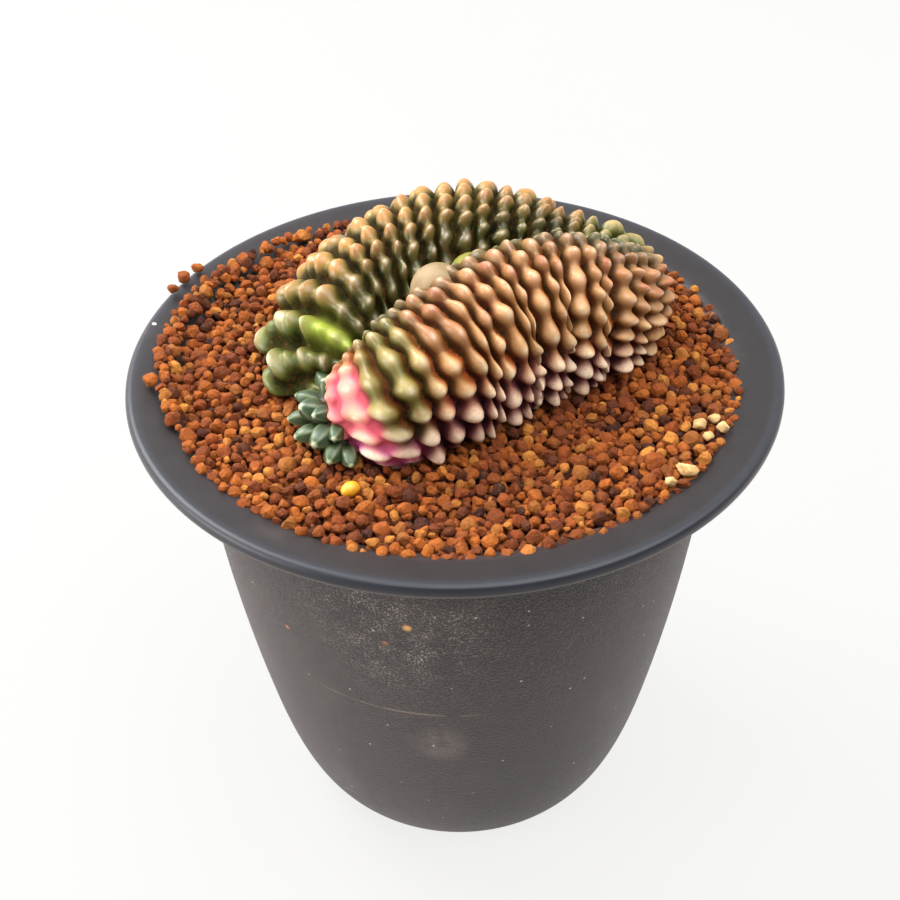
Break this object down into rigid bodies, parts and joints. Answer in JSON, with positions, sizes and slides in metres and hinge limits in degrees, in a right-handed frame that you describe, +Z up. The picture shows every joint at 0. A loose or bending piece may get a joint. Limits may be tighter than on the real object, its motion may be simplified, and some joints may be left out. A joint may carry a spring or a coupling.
{
  "type": "potted crested moon cactus",
  "caption": "Low crested cactus, a fan of knobbly ribs folded round a groove, growing in a flared round plastic pot filled to the brim with clay granules.",
  "frame": {"origin": "centre of the pot's foot ring, on the surface it stands on", "axes": "+Z up out of the pot's mouth; -Y is the side that the picture was taken from; +X to the right of that view"},
  "size_m": [0.0996, 0.1, 0.1075],
  "materials": {
    "pot_plastic": "matte black moulded plastic with a fine sandy grain on the wall and a smoother brim",
    "clay_granules": "dry reddish-brown fired clay granules",
    "crest_flesh": "waxy cactus skin, olive and brown with pink, green and cream patches",
    "shoot_flesh": "waxy blue-green cactus skin",
    "pale_pumice": "dry cream-coloured pumice",
    "feed_pellet": "smooth coated yellow pellet"
  },
  "bodies": {
    "root": {"pot": "pot_plastic", "soil": "clay_granules", "crest": "crest_flesh", "side_shoot": "shoot_flesh", "pale_grain_1": "pale_pumice", "pale_grain_2": "pale_pumice", "pale_grain_3": "pale_pumice", "pale_grain_4": "pale_pumice", "pale_grain_5": "pale_pumice", "pale_grain_6": "pale_pumice", "yellow_pellet": "feed_pellet", "brim_grain_1": "clay_granules", "brim_grain_2": "clay_granules", "brim_grain_3": "clay_granules", "brim_grain_4": "clay_granules"}
  },
  "joints": []
}
